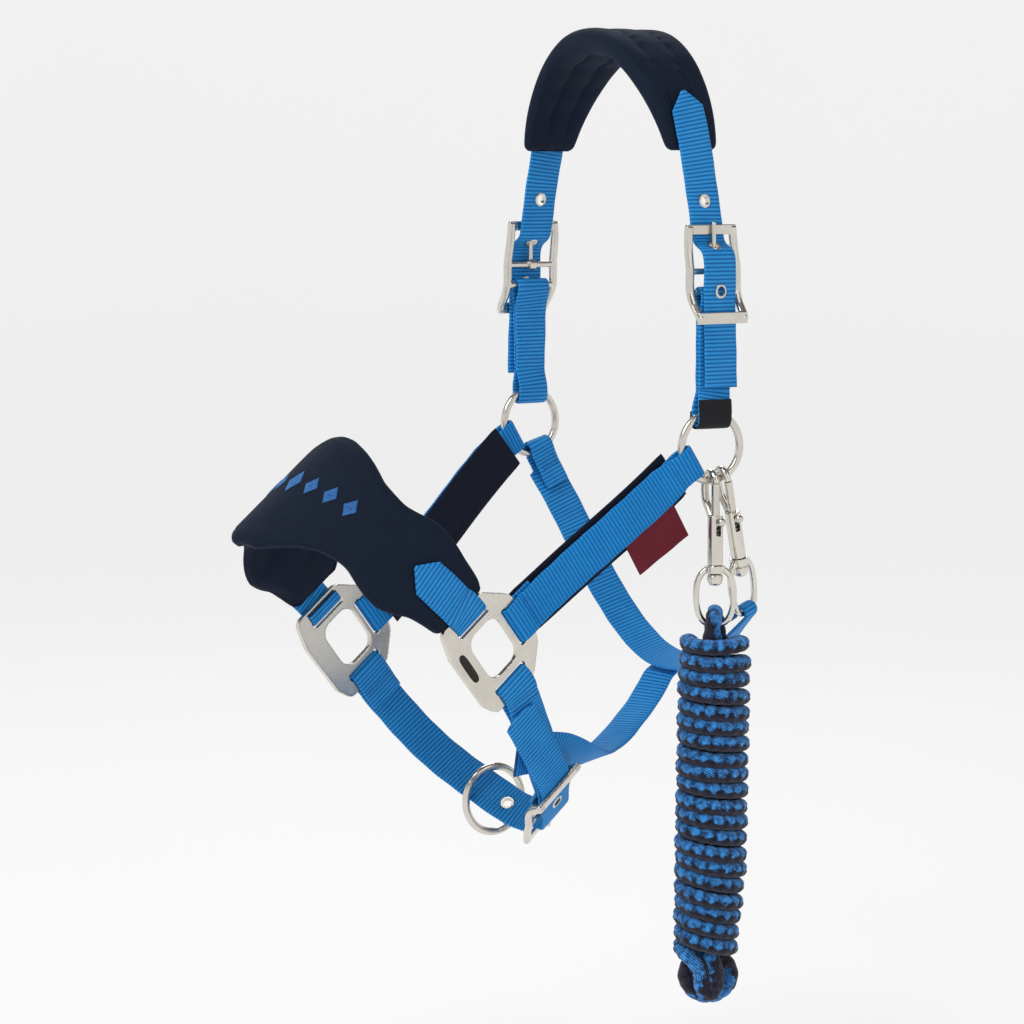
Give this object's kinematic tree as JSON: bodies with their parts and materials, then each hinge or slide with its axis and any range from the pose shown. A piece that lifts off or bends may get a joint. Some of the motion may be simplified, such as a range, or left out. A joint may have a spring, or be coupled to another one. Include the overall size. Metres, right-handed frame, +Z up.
{
  "type": "padded horse head halter with lead rope",
  "caption": "Horse headcollar with padded poll and nose, adjustable crown and chin buckles, snap-closed throat strap and a clipped-on lead rope tied in a hank.",
  "frame": {"origin": "the crown pad's underside at the top of the poll, on the head's middle plane", "axes": "+Z up, the horse faces -Y, +X is the horse's near (left) side; millimetres in the source, metres in the row"},
  "size_m": [0.2202, 0.3395, 0.5978],
  "materials": {
    "webbing": "ribbed woven nylon",
    "pad_cover": "smooth padded cover with sewn channels",
    "lining": "soft padded lining",
    "nickel": "satin nickel plating over a zinc casting",
    "spring_steel": "drawn wire",
    "size_tape": "blank woven tape",
    "side_tab": "blank woven tab",
    "rope": "braided two-colour polypropylene"
  },
  "bodies": {
    "halter": {"crown_pad": "pad_cover", "near_crown_strap": "webbing", "far_crown_strap": "webbing", "near_eyelets": "nickel", "far_eyelets": "nickel", "near_buckle_frame": "nickel", "far_buckle_frame": "nickel", "near_cheek_strap": "webbing", "far_cheek_strap": "webbing", "size_label": "size_tape", "near_cheekpiece": "webbing", "far_cheekpiece": "webbing", "near_cheek_lining": "lining", "far_cheek_lining": "lining", "side_label": "side_tab", "near_square": "nickel", "far_square": "nickel", "nose_pad": "pad_cover", "near_nose_tab": "webbing", "far_nose_tab": "webbing", "near_chin_strap": "webbing", "chin_buckle_frame": "nickel", "chin_adjust_strap": "webbing", "chin_eyelets": "nickel", "jaw_strap": "webbing", "throat_strap": "webbing", "throat_snap_eye": "nickel"},
    "near_ring": {"near_ring": "nickel"},
    "far_ring": {"far_ring": "nickel"},
    "chin_ring": {"chin_ring": "nickel"},
    "near_tongue": {"near_buckle_tongue": "nickel"},
    "far_tongue": {"far_buckle_tongue": "nickel"},
    "chin_tongue": {"chin_buckle_tongue": "nickel"},
    "lead_snap": {"lead_snap_body": "nickel", "lead_snap_spring": "spring_steel"},
    "lead_bolt": {"lead_snap_bolt": "nickel"},
    "lead_eye": {"lead_snap_eye": "nickel"},
    "lead_rope": {"rope_bight": "rope", "rope_hank": "rope"},
    "throat_snap": {"throat_snap_body": "nickel", "throat_snap_spring": "spring_steel"},
    "throat_bolt": {"throat_snap_bolt": "nickel"}
  },
  "joints": [
    {"name": "near_ring_turn", "type": "hinge", "parent": "halter", "child": "near_ring", "pos_m": [0.092, -0.002, -0.239], "axis": [0.9848, -0.1736, 0], "continuous": true},
    {"name": "far_ring_turn", "type": "hinge", "parent": "halter", "child": "far_ring", "pos_m": [-0.092, 0.004, -0.235], "axis": [0.9994, -0.0349, 0], "continuous": true},
    {"name": "chin_ring_turn", "type": "hinge", "parent": "halter", "child": "chin_ring", "pos_m": [-0.018, -0.083, -0.4623], "axis": [0.9962, -0.0872, 0], "continuous": true},
    {"name": "near_tongue_lift", "type": "hinge", "parent": "halter", "child": "near_tongue", "pos_m": [0.089, 0.002, -0.133], "axis": [0, 1, 0], "range_deg": [0, 2.2]},
    {"name": "far_tongue_lift", "type": "hinge", "parent": "halter", "child": "far_tongue", "pos_m": [-0.089, 0.002, -0.133], "axis": [0, -1, 0], "range_deg": [0, 2.2]},
    {"name": "chin_tongue_lift", "type": "hinge", "parent": "halter", "child": "chin_tongue", "pos_m": [0.044, -0.08926, -0.45425], "axis": [0, -0.788, -0.6157], "range_deg": [0, 2.2]},
    {"name": "lead_snap_swing", "type": "hinge", "parent": "halter", "child": "lead_snap", "pos_m": [0.092, -0.002, -0.2595], "axis": [-0.1736, -0.9848, 0], "range_deg": [-6, 50]},
    {"name": "lead_bolt_slide", "type": "slide", "parent": "lead_snap", "child": "lead_bolt", "axis": [0, 0, -1], "range_m": [0, 0.007], "stiffness_N_per_m": 400, "springref_m": -0.004, "deforming": ["lead_snap_spring"]},
    {"name": "lead_eye_swivel", "type": "hinge", "parent": "lead_snap", "child": "lead_eye", "pos_m": [0.09791, -0.00304, -0.3123], "axis": [0, 0, 1], "continuous": true},
    {"name": "lead_rope_swing", "type": "hinge", "parent": "lead_eye", "child": "lead_rope", "pos_m": [0.09791, -0.00304, -0.3467], "axis": [-0.6157, -0.788, 0], "range_deg": [-12, 35]},
    {"name": "throat_snap_swivel", "type": "hinge", "parent": "halter", "child": "throat_snap", "pos_m": [0.09746, 0.01094, -0.2784], "axis": [-0.091, 0.2617, -0.9609], "range_deg": [-5, 5]},
    {"name": "throat_bolt_slide", "type": "slide", "parent": "throat_snap", "child": "throat_bolt", "axis": [-0.091, 0.2617, -0.9609], "range_m": [0, 0.007], "stiffness_N_per_m": 400, "springref_m": -0.004, "deforming": ["throat_snap_spring"]}
  ]
}
